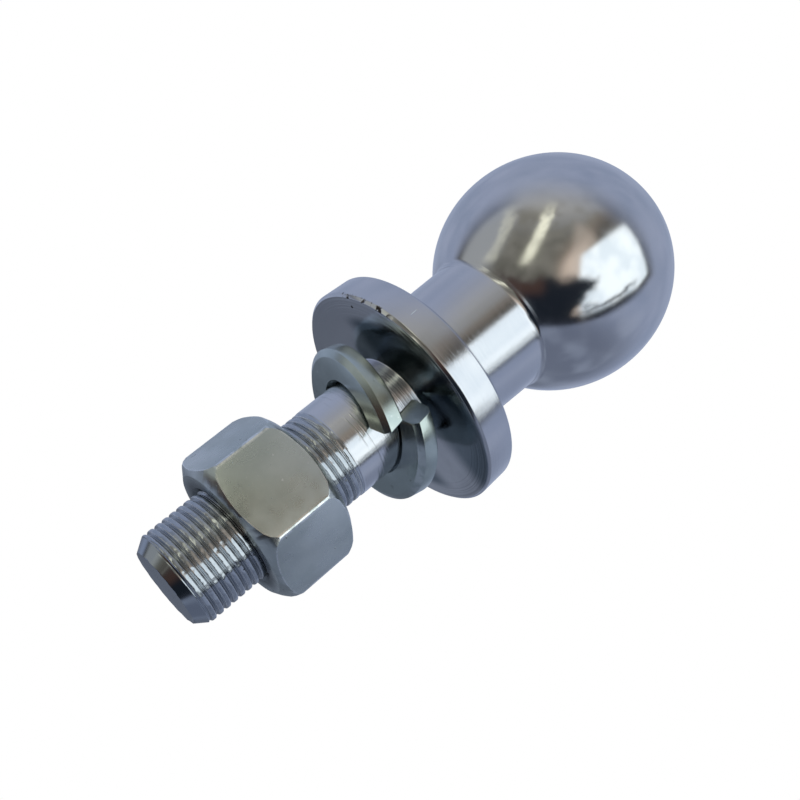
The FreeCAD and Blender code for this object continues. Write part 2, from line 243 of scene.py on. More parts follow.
# %% Lamps and window
ragged = g.times(g.minus(g.noise(way, 8.0, 4.0), 0.5), 0.16)
lamp_line = g.plus(lamp_line, g.times(ragged, 0.6))
first_lamp = g.step(g.away(lamp_line, -0.424), 0.088, 0.045)
second_lamp = g.times(g.step(g.away(lamp_line, -0.84), 0.07, 0.02), 0.30)
lamps = g.calc("ADD", first_lamp, second_lamp, clamp=True)
lamps = g.times(lamps, g.step(rise, 0.10, 0.22), g.step(rise, 0.98, 0.75), g.step(near, 0.05, 0.35))
lamps = g.times(lamps, g.step(g.noise(way, 15.0, 3.0, 0.6), 0.30, 0.47))
walls = g.mix(lamps, walls, (1.35, 1.33, 1.05))
edge_dark = g.times(g.step(into_room, 0.25, 0.08), g.step(g.away(side), 0.3, 0.7), 0.9)
walls = g.mix(edge_dark, walls, (0.06, 0.058, 0.06))
window = g.times(g.step(side, 0.42, 0.50), g.step(window_top, -0.05, 0.05))
window = g.times(window, g.step(into_room, 0.11, 0.19))
panes = g.step(g.away(near, -0.08), 0.015, 0.05)
pane_light = g.mix(panes, (0.75, 0.88, 1.0), (1.46, 1.57, 1.60))
pane_light = g.mix(g.step(g.noise(way, 3.6, 3.0), 0.38, 0.56), (1.18, 1.32, 1.40), pane_light)
broken = g.away(g.plus(g.minus(into_room, 0.31), g.times(ragged, 1.5)))
broken = g.times(g.step(broken, 0.060, 0.025), g.step(rise, -0.02, -0.16), 0.93)
pane_light = g.mix(broken, pane_light, (0.03, 0.034, 0.042))
walls = g.mix(window, walls, pane_light)
print("studio nodes with lamps and window:", len(world.node_tree.nodes))

# %% [markdown]
# Low in the room is a big dark shape with a frayed edge and a reddish part at its left. The
# backdrop that the camera sees is plain white, and dull things get an even, pale light, so the
# drawn room changes nothing but what mirrors show.

# %% Dark shape and what sees the room
shape_side = g.minus(g.times(side, 0.89), g.times(rise, 0.455))
wide_ragged = g.times(g.minus(g.noise(way, 4.5, 5.0, 0.65), 0.5), 0.75)
shape_edge = g.plus(rise, g.times(wide_ragged, 0.6))
shape_side = g.plus(shape_side, wide_ragged)
dark_shape = g.times(g.step(shape_edge, 0.0, -0.16), g.step(shape_side, 0.74, 0.62))
walls = g.mix(dark_shape, walls, (0.016, 0.021, 0.030))
left_part = g.times(g.step(g.plus(side, ragged), 0.02, -0.18), dark_shape, g.step(rise, -0.42, -0.22))
walls = g.mix(left_part, walls, (0.085, 0.050, 0.042))
low_rim = g.times(g.step(rise, -0.10, -0.30), g.step(into_room, 0.30, 0.16), 0.92)
walls = g.mix(low_rim, walls, (0.022, 0.026, 0.036))
path = g.add("ShaderNodeLightPath")
seen = g.larger(path.outputs["Is Camera Ray"], path.outputs["Is Transmission Ray"])
shown = g.mix(path.outputs["Is Glossy Ray"], (0.82, 0.83, 0.85), g.mix(room, paper, walls))
shown = g.mix(seen, shown, (1.0, 1.0, 1.0))
background = g.add("ShaderNodeBackground")
g.feed(background.inputs["Color"], shown)
background.inputs["Strength"].default_value = 1.0
world_out = g.add("ShaderNodeOutputWorld")
g.feed(world_out.inputs["Surface"], background.outputs[0])
print("studio nodes in all:", len(world.node_tree.nodes))

# %% [markdown]
# Every material starts the same way: a new one, its graph, and the place of each point on its
# own piece. The metals also end the same way, in one metal shader. Two helpers hold that.


# %% Material helpers
def new_look(name):
    look = bpy.data.materials.new(name)
    look.use_nodes = True
    g = Graph(look.node_tree)
    return look, g, g.add("ShaderNodeTexCoord").outputs["Object"]


def finish_metal(g, tone, roughness, normal):
    metal = g.add("ShaderNodeBsdfPrincipled")
    metal.inputs["Metallic"].default_value = 1.0
    g.feed(metal.inputs["Base Color"], tone)
    g.feed(metal.inputs["Roughness"], roughness)
    g.feed(metal.inputs["Normal"], normal)
    out = g.add("ShaderNodeOutputMaterial")
    g.feed(out.inputs["Surface"], metal.outputs[0])


def put_on(piece, look):
    piece.data.materials.clear()
    piece.data.materials.append(look)
    print(piece.name, "wears", look.name, "with", len(look.node_tree.nodes), "nodes")


# %% [markdown]
# The stud stands on its shank's end, so a pale floor lies there. The photograph's camera is
# lower than that end, and it must look through the floor: seen from below, the floor is clear.
# Its edge fades out, so no line shows where it ends.

# %% Floor
FLOOR_HEIGHT = -99.4 * mm
bpy.ops.object.select_all(action="DESELECT")
bpy.ops.mesh.primitive_plane_add(size=1.2, location=(0, 0, FLOOR_HEIGHT))
floor = bpy.context.object
floor.name = "floor"
bpy.ops.object.transform_apply(location=True)
floor.visible_glossy = False
floor_look, g, place = new_look("pale_floor")
length = g.add("ShaderNodeVectorMath", operation="LENGTH")
g.feed(length.inputs[0], place)
fade = g.step(length.outputs["Value"], 0.25, 0.55)
from_below = g.add("ShaderNodeNewGeometry").outputs["Backfacing"]
pale = g.add("ShaderNodeBsdfDiffuse")
speckle = g.noise(place, 60.0, 4.0)
g.feed(pale.inputs["Color"], g.mix(speckle, (0.90, 0.90, 0.905), (0.94, 0.94, 0.94)))
clear = g.add("ShaderNodeBsdfTransparent")
both = g.add("ShaderNodeMixShader")
g.feed(both.inputs[0], g.larger(fade, from_below))
g.feed(both.inputs[1], pale.outputs[0])
g.feed(both.inputs[2], clear.outputs[0])
out = g.add("ShaderNodeOutputMaterial")
g.feed(out.inputs["Surface"], both.outputs[0])
put_on(floor, floor_look)

# %% [markdown]
# One large soft lamp stands over the part's window side. It gives the floor its shadow and the
# dull plating some shape. Mirrors don't show it, because they have the window already.

# %% Lamp
lamp_data = bpy.data.lights.new("soft_lamp", "AREA")
lamp_data.shape = "RECTANGLE"
lamp_data.size = 0.5
lamp_data.size_y = 0.5
lamp_data.energy = 1.6
lamp = bpy.data.objects.new("soft_lamp", lamp_data)
bpy.context.scene.collection.objects.link(lamp)
lamp.location = (0.30, -0.25, 0.42)
lamp.rotation_euler = (-lamp.location).to_track_quat("-Z", "Y").to_euler()
lamp.visible_glossy = False
print("lamp", round(lamp.location.length, 2), "m away,", lamp_data.size, "m wide")

# %% [markdown]
# Modelling goes by small moves on what is selected. A few helpers cover most of it. One starts
# from a clean selection, and one works on a piece alone. Two pull the selected open ring to its
# next radius and height, or through a whole arc, which is how a lathe profile grows step by
# step. The last merges double points and turns all faces outwards.


# %% Modelling helpers
def nothing_selected():
    if bpy.context.object and bpy.context.object.mode != "OBJECT":
        bpy.ops.object.mode_set(mode="OBJECT")
    bpy.ops.object.select_all(action="DESELECT")


def work_on(piece):
    nothing_selected()
    piece.select_set(True)
    bpy.context.view_layer.objects.active = piece


def pull_ring(now, radius, height):
    # now: (radius, height) of the selected ring, in millimetres
    up = (height - now[1]) * mm
    bpy.ops.mesh.extrude_region_move(TRANSFORM_OT_translate={"value": (0, 0, up)})
    share = radius / now[0]
    bpy.ops.transform.resize(value=(share, share, 1), center_override=(0, 0, 0))
    return (radius, height)


def arc_rings(now, middle, radius, first, last, steps):
    # rings along an arc of the profile, with its angles in degrees from the outward direction
    for k in range(1, steps + 1):
        angle = math.radians(first + (last - first) * k / steps)
        across = middle[0] + radius * math.cos(angle)
        now = pull_ring(now, across, middle[1] + radius * math.sin(angle))
    return now


def merge_and_face_out():
    # in edit mode, on the whole piece
    bpy.ops.mesh.select_all(action="SELECT")
    bpy.ops.mesh.remove_doubles(threshold=2e-7)
    bpy.ops.mesh.normals_make_consistent(inside=False)
    bpy.ops.object.mode_set(mode="OBJECT")


print("modelling helpers ready")


# %% [markdown]
# The ball, neck, flange and plain shank were turned from one bar. The whole outline could be
# drawn and spun, but a fine ball is rounder, so that is the start. It is cut open where the
# neck's hollow corner begins, and the open ring is pulled down along the profile. Every edge
# gets a small arc, because a real edge always catches some light. First come the sizes, in
# millimetres, and the place where the hollow corner touches the ball.

# %% Sizes of the stud
BALL_RADIUS = 23.8125
SEAT = -44.5
NECK_TOP_RADIUS = 14.3
NECK_MIDDLE = -27.0
NECK_FOOT_RADIUS = 13.9
NECK_FOOT = SEAT + 8.6
NECK_TOP_HOLLOW = 1.8
NECK_FOOT_HOLLOW = 1.5
FLANGE_BACK = [(20.9, 7.75), (21.6, 7.55), (23.05, 6.60)]
RIM_BACK_RADIUS = 23.45
RIM_BACK_ROUND = 0.45
RIM_RADIUS = 23.7
RIM_FRONT = 0.62
RIM_FRONT_ROUND = 0.3
SEAT_EDGE_ROUND = 0.2
SHANK_RADIUS = 9.525
SHANK_HOLLOW = 0.3
THREAD_TOP = -61.5
neck_join = -math.sqrt(BALL_RADIUS ** 2 - NECK_TOP_RADIUS ** 2)
lean = (NECK_TOP_RADIUS - NECK_FOOT_RADIUS) / (neck_join - NECK_FOOT)
hollow_across = NECK_TOP_RADIUS + NECK_TOP_HOLLOW - 0.05
hollow_height = -math.sqrt((BALL_RADIUS + NECK_TOP_HOLLOW) ** 2 - hollow_across ** 2)
open_share = BALL_RADIUS / (BALL_RADIUS + NECK_TOP_HOLLOW)
open_ring = (hollow_across * open_share, hollow_height * open_share)
print("the ball is cut open", round(open_ring[1], 2), "mm below its centre")

# %% Ball, neck, flange and plain shank
nothing_selected()
bpy.ops.mesh.primitive_uv_sphere_add(segments=192, ring_count=128, radius=BALL_RADIUS * mm)
stud = bpy.context.object
stud.name = "dressed_ball_stud"
bpy.ops.object.mode_set(mode="EDIT")
bpy.ops.mesh.select_all(action="SELECT")
bpy.ops.mesh.bisect(plane_co=(0, 0, open_ring[1] * mm), plane_no=(0, 0, 1), clear_inner=True)
to_ball = math.degrees(math.atan2(-hollow_height, -hollow_across))
now = arc_rings(open_ring, (hollow_across, hollow_height), NECK_TOP_HOLLOW, to_ball, 180.0, 12)
foot_middle = (NECK_FOOT_RADIUS + NECK_FOOT_HOLLOW, NECK_FOOT + NECK_FOOT_HOLLOW)
now = pull_ring(now, NECK_TOP_RADIUS + (foot_middle[1] - neck_join) * lean * 0.5, NECK_MIDDLE)
now = pull_ring(now, NECK_FOOT_RADIUS, foot_middle[1])
now = arc_rings(now, foot_middle, NECK_FOOT_HOLLOW, 180.0, 263.0, 8)
for radius, height in FLANGE_BACK:
    now = pull_ring(now, radius, SEAT + height)
back_round = (RIM_BACK_RADIUS - RIM_BACK_ROUND, SEAT + 6.05)
now = arc_rings(now, back_round, RIM_BACK_ROUND, 60.0, 2.0, 6)
now = pull_ring(now, RIM_RADIUS, SEAT + RIM_FRONT)
front_round = (RIM_RADIUS - RIM_FRONT_ROUND, SEAT + RIM_FRONT)
now = arc_rings(now, front_round, RIM_FRONT_ROUND, 0.0, -40.0, 3)
now = pull_ring(now, RIM_RADIUS - 0.46, SEAT + 0.12)
now = arc_rings(now, (RIM_RADIUS - 0.62, SEAT + SEAT_EDGE_ROUND), SEAT_EDGE_ROUND, -40.0, -90.0, 3)
now = pull_ring(now, 16.0, SEAT)
now = pull_ring(now, SHANK_RADIUS + SHANK_HOLLOW, SEAT)
now = arc_rings(now, (SHANK_RADIUS + SHANK_HOLLOW, SEAT - SHANK_HOLLOW), SHANK_HOLLOW, 90.0, 180.0, 4)
now = pull_ring(now, SHANK_RADIUS, -55.0)
now = pull_ring(now, SHANK_RADIUS, THREAD_TOP + 0.12)
now = pull_ring(now, SHANK_RADIUS - 0.08, THREAD_TOP)
now = pull_ring(now, 4.0, THREAD_TOP)
now = pull_ring(now, 0.01, THREAD_TOP)
bpy.ops.mesh.merge(type="CENTER")
merge_and_face_out()
bpy.ops.object.shade_smooth_by_angle(angle=math.radians(24))
print("stud faces so far:", len(stud.data.polygons))

# %% [markdown]
# The fine thread has sixteen turns to the inch, so one turn climbs 1.5875 mm. A bump could
# fake it, but its edge against the backdrop would stay straight, so it is a real helix. One
# pitch of the groove is drawn as a line beside the axis, in shares of the pitch and of the
# groove's depth. A Screw modifier winds it, and each turn starts where the last one ended. The
# crests are left wide and flat, as on a shallow thread cut into an already turned bar.

# %% Wind the thread
PITCH = 1.5875
CREST = 9.45
GROOVE = 0.45
TURNS = 29
THREAD_END = -99.4
groove_line = [(0.0, 0.0), (0.11, 0.005), (0.185, 0.03), (0.23, 0.09), (0.27, 0.20), (0.34, 0.48),
               (0.41, 0.78), (0.455, 0.95), (0.50, 1.0), (0.545, 0.95), (0.59, 0.78), (0.66, 0.48),
               (0.73, 0.20), (0.77, 0.09), (0.815, 0.03), (0.89, 0.005), (1.0, 0.0)]
nothing_selected()
bpy.ops.mesh.primitive_plane_add(size=0.002)
thread = bpy.context.object
thread.name = "thread"
bpy.ops.object.mode_set(mode="EDIT")
bpy.ops.mesh.select_all(action="SELECT")
bpy.ops.mesh.merge(type="CENTER")
first_height = THREAD_END - 2.0 * PITCH
spot = Vector(((CREST - GROOVE * groove_line[0][1]) * mm, 0, first_height * mm))
bpy.ops.transform.translate(value=spot)
for along, deep in groove_line[1:]:
    target = Vector(((CREST - GROOVE * deep) * mm, 0, (first_height + PITCH * along) * mm))
    bpy.ops.mesh.extrude_region_move(TRANSFORM_OT_translate={"value": target - spot})
    spot = target
bpy.ops.object.mode_set(mode="OBJECT")
winding = thread.modifiers.new("winding", "SCREW")
winding.axis = "Z"
winding.angle = math.radians(360)
winding.screw_offset = PITCH * mm
winding.iterations = TURNS
winding.steps = 128
winding.render_steps = 128
winding.use_merge_vertices = True
winding.merge_threshold = 1e-6
bpy.ops.object.modifier_apply(modifier=winding.name)
print("thread faces:", len(thread.data.polygons))

# %% [markdown]
# The winding has open, stepped ends. On the real stud the groove runs out towards the plain
# shank, and at the free end the bar was first turned to a blunt cone, so the last turns are cut
# away at a slant. A cutting tool could do this, but it leaves slivers on so fine a thread. Each
# point is kept inside the turned form instead, and points past an end are drawn in to the axis,
# which closes the end with a flat face.

# %% Trim the thread's ends
LEAD = 2.5
END_RADIUS = 7.7
RUN_OUT = 2.6
HIDDEN_TOP = THREAD_TOP + 1.0


def soft(value):
    # 0 below 0, 1 above 1, and smooth between
    value = min(1.0, max(0.0, value))
    return value * value * (3 - 2 * value)


for point in thread.data.vertices:
    across = math.hypot(point.co.x, point.co.y) / mm
    height = point.co.z / mm
    depth = (CREST - across) * soft((THREAD_TOP + 0.4 - height) / RUN_OUT)
    turned_to = CREST
    if height < THREAD_END + LEAD:
        turned_to = END_RADIUS + (height - THREAD_END) * (CREST - END_RADIUS) / LEAD
    kept = min(CREST - depth, turned_to)
    if height < THREAD_END:
        kept = max(0.0, END_RADIUS - (THREAD_END - height) * 8.0)
    elif height > HIDDEN_TOP:
        kept = max(0.0, kept - (height - HIDDEN_TOP) * 9.0)
    share = kept / across
    point.co.x *= share
    point.co.y *= share
    point.co.z = min(max(height, THREAD_END), HIDDEN_TOP) * mm
work_on(thread)
bpy.ops.object.mode_set(mode="EDIT")
merge_and_face_out()
bpy.ops.object.shade_smooth_by_angle(angle=math.radians(40))
work_on(stud)
thread.select_set(True)
bpy.ops.object.join()
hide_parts("ball_stud")
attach(stud, "stud")
print("stud with thread:", len(stud.data.polygons), "faces")

# %% [markdown]
# A nut is a hexagon cut by a cone at each end, which leaves a curved bevel on every flat. The
# bevels could be modelled one by one, but cutting them as the lathe did gives their true
# curves. So three helpers come first: an upright cylinder, a move that flares both of its ends,
# and a cut of one piece with another.


# %% Cutting helpers

def cylinder(name, corners, radius, height, middle, turn=0.0):
    nothing_selected()
    bpy.ops.mesh.primitive_cylinder_add(vertices=corners, radius=radius * mm, depth=height * mm,
                                        location=(0, 0, middle * mm), rotation=(0, 0, turn))
    made = bpy.context.object
    made.name = name
    bpy.ops.object.transform_apply(location=True, rotation=True)
    return made


def flare_caps(piece, fall, radius_from, radius_to, low, high):
    # the end faces at the heights low and high are pulled out by fall and brought from one
    # radius to the other
    for at, way in ((low, -1), (high, 1)):
        bpy.ops.object.mode_set(mode="EDIT")
        bpy.ops.mesh.select_mode(type="FACE")
        bpy.ops.mesh.select_all(action="DESELECT")
        bpy.ops.object.mode_set(mode="OBJECT")
        for face in piece.data.polygons:
            face.select = abs(face.center.z - at * mm) < 1e-6 and abs(face.normal.z) > 0.9
        bpy.ops.object.mode_set(mode="EDIT")
        bpy.ops.mesh.extrude_region_move(TRANSFORM_OT_translate={"value": (0, 0, way * fall * mm)})
        share = radius_to / radius_from
        bpy.ops.transform.resize(value=(share, share, 1), center_override=(0, 0, 0))
    bpy.ops.mesh.select_mode(type="VERT")
    bpy.ops.object.mode_set(mode="OBJECT")


def cut_with(piece, tool, operation):
    work_on(piece)
    cutting = piece.modifiers.new("cutting", "BOOLEAN")
    cutting.operation = operation
    cutting.object = tool
    cutting.solver = "EXACT"
    bpy.ops.object.modifier_apply(modifier=cutting.name)
    bpy.data.objects.remove(tool)


print("cutting helpers ready")

# %% [markdown]
# The nut starts as a six-sided bar. Its upright corners are rounded. A turned blank with a
# blunt cone at each end is then cut against it, and a tool with flared ends cuts the hole and
# its countersinks. A last bevel softens every edge that is left.

# %% Hexagon nut
FLATS = 27.9
NUT_HEIGHT = 16.8
NUT_FOOT = -84.9
FACE_RADIUS = FLATS * 0.935 / 2
CORNER_ROUND = 0.34
EDGE_ROUND = 0.40
middle_height = NUT_FOOT + NUT_HEIGHT / 2
half_height = NUT_HEIGHT / 2
nut = cylinder("dressed_hex_nut", 6, FLATS / math.sqrt(3), NUT_HEIGHT, middle_height, math.radians(30))
for edge in nut.data.edges:
    ends = [nut.data.vertices[k].co for k in edge.vertices]
    edge.select = abs(ends[0].z - ends[1].z) > NUT_HEIGHT * mm / 2
bpy.ops.object.mode_set(mode="EDIT")
bpy.ops.mesh.select_mode(type="EDGE")
bpy.ops.mesh.bevel(offset=CORNER_ROUND * mm, offset_type="OFFSET", segments=4)
bpy.ops.mesh.select_mode(type="VERT")
bpy.ops.object.mode_set(mode="OBJECT")
# the blank's radii, each with its depth below the nut's end face
blank_steps = [(16.3, 4.2), (15.95, 2.9), (15.55, 2.0), (15.1, 1.4), (FACE_RADIUS, 0.0)]
blank = cylinder("blank", 96, blank_steps[0][0], NUT_HEIGHT - 2 * blank_steps[0][1], middle_height)
for (wide, deep), (narrow, shallow) in zip(blank_steps, blank_steps[1:]):
    flare_caps(blank, deep - shallow, wide, narrow,
               middle_height - half_height + deep, middle_height + half_height - deep)
cut_with(nut, blank, "INTERSECT")
print("nut faces before the hole:", len(nut.data.polygons))

# %% Hole and soft edges of the nut
BORE_RADIUS = 9.55
SINK = 0.9
bore_length = NUT_HEIGHT - 2 * SINK
tool = cylinder("tool", 128, BORE_RADIUS, bore_length, middle_height)
flare_caps(tool, SINK + 0.4, BORE_RADIUS, BORE_RADIUS + SINK + 0.4,
           middle_height - bore_length / 2, middle_height + bore_length / 2)
cut_with(nut, tool, "DIFFERENCE")
rounding = nut.modifiers.new("rounding", "BEVEL")
rounding.width = EDGE_ROUND * mm
rounding.segments = 4
rounding.limit_method = "ANGLE"
rounding.angle_limit = math.radians(19)
bpy.ops.object.modifier_apply(modifier=rounding.name)
bpy.ops.object.mode_set(mode="EDIT")
merge_and_face_out()
bpy.ops.object.shade_smooth_by_angle(angle=math.radians(20))
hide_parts("hex_nut")
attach(nut, "nut")
print("nut faces:", len(nut.data.polygons))

# %% [markdown]
# The spring washer is one turn of bar wound to a left-hand helix, so its two ends stand one
# above the other. It could be a split ring that is bent open, but bending would twist its
# section, which the real winding keeps. The section is drawn with its bevels and small rounded
# corners, and a Screw modifier winds it a little past each end, to be cut to length.

# %% Spring washer
INNER = 10.0
OUTER = 15.9
HALF = 2.15
CLIMB = 5.75
SPARE = 22.0
GAP = 2.7
WIND = 360.0 + 2 * SPARE
washer_corners = [(INNER + 0.2, -HALF), (OUTER - 1.36, -HALF), (OUTER - 1.24, -HALF + 0.03),
                  (OUTER - 0.10, -HALF + 0.74), (OUTER - 0.02, -HALF + 0.81), (OUTER, -HALF + 0.92),
                  (OUTER, HALF - 0.92), (OUTER - 0.02, HALF - 0.81), (OUTER - 0.10, HALF - 0.74),
                  (OUTER - 1.24, HALF - 0.03), (OUTER - 1.36, HALF), (INNER + 0.2, HALF),
                  (INNER + 0.06, HALF - 0.06), (INNER, HALF - 0.2), (INNER, -HALF + 0.2),
                  (INNER + 0.06, -HALF + 0.06)]
nothing_selected()
bpy.ops.mesh.primitive_plane_add(size=0.002)
washer = bpy.context.object
washer.name = "dressed_lock_washer"
bpy.ops.object.mode_set(mode="EDIT")
bpy.ops.mesh.select_all(action="SELECT")
bpy.ops.mesh.merge(type="CENTER")
spot = Vector((washer_corners[0][0] * mm, 0, washer_corners[0][1] * mm))
bpy.ops.transform.translate(value=spot)
for across, height in washer_corners[1:]:
    target = Vector((across * mm, 0, height * mm))
    bpy.ops.mesh.extrude_region_move(TRANSFORM_OT_translate={"value": target - spot})
    spot = target
bpy.ops.mesh.select_all(action="SELECT")
bpy.ops.mesh.edge_face_add()
bpy.ops.object.mode_set(mode="OBJECT")
winding = washer.modifiers.new("winding", "SCREW")
winding.axis = "Z"
winding.angle = math.radians(WIND)
winding.screw_offset = -CLIMB * WIND / 360 * mm
winding.steps = 240
winding.render_steps = 240
bpy.ops.object.modifier_apply(modifier=winding.name)
heights = [v.co.z / mm for v in washer.data.vertices]
print("washer wound, height", round(min(heights), 2), "to", round(max(heights), 2))

# %% [markdown]
# The bar was sheared off slantwise. Each end is cut with a plane, with only the faces near that
# end selected, so that the rest of the turn, which passes close by, stays whole. A small bevel
# then takes the sharpness off the cut edges.

# %% Cut the washer's ends
SLANT = math.tan(math.radians(20))
SKEW = math.tan(math.radians(14))


def cut_washer_end(turn_angle, first):
    angle = math.radians(turn_angle)
    out = Vector((math.cos(angle), math.sin(angle), 0))
    along = Vector((-math.sin(angle), math.cos(angle), 0))
    height = -turn_angle / 360 * CLIMB * mm
    through = out * OUTER * mm + Vector((0, 0, height))
    facing = out * SKEW - along - Vector((0, 0, SLANT))
    work_on(washer)
    bpy.ops.object.mode_set(mode="EDIT")
    bpy.ops.mesh.select_mode(type="FACE")
    bpy.ops.mesh.select_all(action="DESELECT")
    bpy.ops.object.mode_set(mode="OBJECT")
    chosen = 0
    for face in washer.data.polygons:
        middle = face.center
        turn = (math.degrees(math.atan2(middle.y, middle.x)) - turn_angle + 180) % 360 - 180
        face.select = abs(turn) < 40 and abs(middle.z - height) < CLIMB / 2 * mm
        chosen += face.select
    bpy.ops.object.mode_set(mode="EDIT")
    bpy.ops.mesh.bisect(plane_co=through, plane_no=facing.normalized(), use_fill=True,
                        clear_outer=first, clear_inner=not first)
    bpy.ops.mesh.select_mode(type="VERT")
    bpy.ops.object.mode_set(mode="OBJECT")
    print("end at", round(turn_angle, 1), "degrees: looked at", chosen, "faces")


cut_washer_end(SPARE, True)
cut_washer_end(360 + SPARE - GAP, False)
bpy.ops.object.mode_set(mode="EDIT")
merge_and_face_out()
rounding = washer.modifiers.new("rounding", "BEVEL")
rounding.width = 0.14 * mm
rounding.segments = 2
rounding.limit_method = "ANGLE"
rounding.angle_limit = math.radians(42)
bpy.ops.object.modifier_apply(modifier=rounding.name)
bpy.ops.object.shade_smooth_by_angle(angle=math.radians(17))

# %% [markdown]
# The washer is loose, and it leans on the shank as it fell. It is wound about the axis, so four
# moves put it there: its middle to the origin, its gap turned to the front, a tilt about a
# level line, and a drop below the seat. The moves are then applied to its points.

# %% Lean the washer on the shank
GAP_TURN = 26.7
LEAN = 12.4
LEAN_LINE = math.radians(121)
BELOW_SEAT = 7.0
half_way = Matrix.Translation((0, 0, (SPARE + 180) / 360 * CLIMB * mm))
spin = Matrix.Rotation(math.radians(-90 + GAP_TURN + GAP / 2 - SPARE), 4, "Z")
tilt = Matrix.Rotation(math.radians(LEAN), 4, Vector((math.cos(LEAN_LINE), math.sin(LEAN_LINE), 0)))
drop = Matrix.Translation((0, 0, (SEAT - BELOW_SEAT) * mm))
washer.matrix_world = drop @ tilt @ spin @ half_way
bpy.ops.object.transform_apply(location=True, rotation=True, scale=True)
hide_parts("lock_washer")
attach(washer, "stud")
print("washer faces:", len(washer.data.polygons))

# %% [markdown]
# The stud's plating is bright over a turned surface. Painted pictures could carry its marks,
# but nearly all of them follow the lathe, so the material only needs to know which turned face
# a point is on. Its height and its distance from the axis tell that.


# %% Places on the stud
def from_axis(g, place):
    parts = g.add("ShaderNodeSeparateXYZ")
    g.feed(parts.inputs[0], place)
    x, y, z = parts.outputs
    return x, y, z, g.calc("SQRT", g.plus(g.times(x, x), g.times(y, y)))


bright, g, place = new_look("bright_turned_steel")
x, y, z, off_axis = from_axis(g, place)
on_ball = g.step(z, -19.2 * mm, -18.6 * mm)
on_seat = g.step(z, (SEAT - 0.2) * mm, (SEAT + 0.02) * mm)
on_seat = g.times(on_seat, g.step(z, (SEAT + 0.3) * mm, (SEAT + 0.04) * mm))
seat_rim = g.times(on_seat, g.step(off_axis, 17.8 * mm, 20.8 * mm))
on_thread = g.step(z, (THREAD_TOP + 0.5) * mm, (THREAD_TOP - 0.3) * mm)
in_thread = g.times(on_thread, g.step(z, (THREAD_END + 2.3) * mm, (THREAD_END + 2.8) * mm))
on_crest = g.times(g.step(off_axis, (CREST - 0.19) * mm, (CREST - 0.05) * mm), on_thread)
crest_edge_glint = g.step(off_axis, (CREST - 0.19) * mm, (CREST - 0.12) * mm)
crest_edge_glint = g.times(crest_edge_glint, g.step(off_axis, (CREST - 0.02) * mm, (CREST - 0.06) * mm), in_thread)
groove_root = g.times(g.step(off_axis, (CREST - 0.31) * mm, (CREST - 0.42) * mm), in_thread)
print("places on the stud:", len(bright.node_tree.nodes), "nodes")

# %% [markdown]
# The steel is a little cloudy and smeared. The thread gets a darker tone, a painted reflection of
# the shaded surroundings it mirrors. Its crest edges get a pale tone, a painted glint, and the
# groove roots are darker. The ball is the smoothest part, and scuffs and the crest edges are the
# roughest.

# %% Tone and gloss of the steel
smears = g.noise(place, 90.0, 4.0, 0.6)
clouds = g.noise(place, 26.0, 3.0, 0.55)
scuffs = g.step(g.noise(place, 210.0, 5.0, 0.7), 0.56, 0.70)
tone = g.mix(g.step(clouds, 0.35, 0.68), (0.60, 0.61, 0.64), (0.66, 0.665, 0.675))
# painted shade: the thread's darker tone stands for the shaded surroundings it mirrors
tone = g.mix(g.times(on_thread, 0.75), tone, (0.38, 0.42, 0.455))
# painted glint: a pale tone on the crest edges
tone = g.mix(g.times(crest_edge_glint, 0.85), tone, (0.93, 0.94, 0.94))
# darker in the groove roots
tone = g.mix(g.times(groove_root, 0.5), tone, (0.22, 0.23, 0.24))
roughness = g.step(smears, 0.3, 0.75, 0.10, 0.19)
roughness = g.minus(roughness, g.times(g.plus(on_ball, on_seat), 0.01))
roughness = g.plus(roughness, g.times(scuffs, 0.05))
roughness = g.plus(roughness, g.times(crest_edge_glint, 0.20))
print("with tone and gloss:", len(bright.node_tree.nodes), "nodes")

# %% [markdown]
# Dark flecks sit where the plating has chipped: in a row on the flange's front edge, one dot
# beside them, and some in the thread. Two dark crescents on the seat, one on each side, are a
# painted reflection: they stand for the washer and shank mirrored there in their shade. The
# front one reaches further round to the right.

# %% Flecks and a painted dark reflection on the seat
FLECK_SIDE = (-0.616, -0.788, 0.0)
DOT_SPOT = Vector((-15.38, -14.68, SEAT)) * mm
fleck_zone = g.step(g.calc("DIVIDE", g.dot(place, FLECK_SIDE), off_axis), 0.935, 0.965)
fleck_zone = g.times(fleck_zone, g.step(z, (SEAT + 0.9) * mm, (SEAT + 0.4) * mm))
fleck_zone = g.times(fleck_zone, g.step(off_axis, (RIM_RADIUS - 1.0) * mm, (RIM_RADIUS - 0.6) * mm))
flecks = g.times(g.step(g.noise(place, 640.0, 3.0, 0.6), 0.53, 0.60), fleck_zone)
flecks = g.larger(flecks, g.step(g.distance(place, DOT_SPOT), 0.38 * mm, 0.22 * mm))
thread_flecks = g.times(g.step(g.noise(place, 760.0, 2.0, 0.5), 0.745, 0.77), in_thread)
flecks = g.larger(flecks, thread_flecks)
tone = g.mix(flecks, tone, (0.035, 0.030, 0.028))
# painted reflection: dark crescents on the seat stand for the washer and shank mirrored in their shade
front_reach = g.minus(off_axis, g.times(x, 0.17))
front_side = g.minus(y, g.times(x, 0.22))
front_painted_reflection = g.times(g.step(front_side, -3.6 * mm, -9.6 * mm), g.step(front_reach, 22.2 * mm, 19.6 * mm))
back_painted_reflection = g.times(g.step(y, 6.5 * mm, 12.0 * mm), g.step(off_axis, 21.8 * mm, 19.2 * mm))
seat_painted_reflection = g.times(g.larger(front_painted_reflection, back_painted_reflection), on_seat, g.step(smears, 0.25, 0.60, 0.84, 0.92))
tone = g.mix(seat_painted_reflection, tone, (0.11, 0.155, 0.185))
print("with flecks and oil:", len(bright.node_tree.nodes), "nodes")

# %% [markdown]
# A lathe leaves rings. They are noise read along one line, the height plus the distance from
# the axis, because that changes on every turned face, upright or flat. Three widths lie over
# each other, weaker on the ball and the seat and left off the thread. The seat's outer part has
# deeper facing grooves, the plain shank two finer rings, and the rim one short scratch.

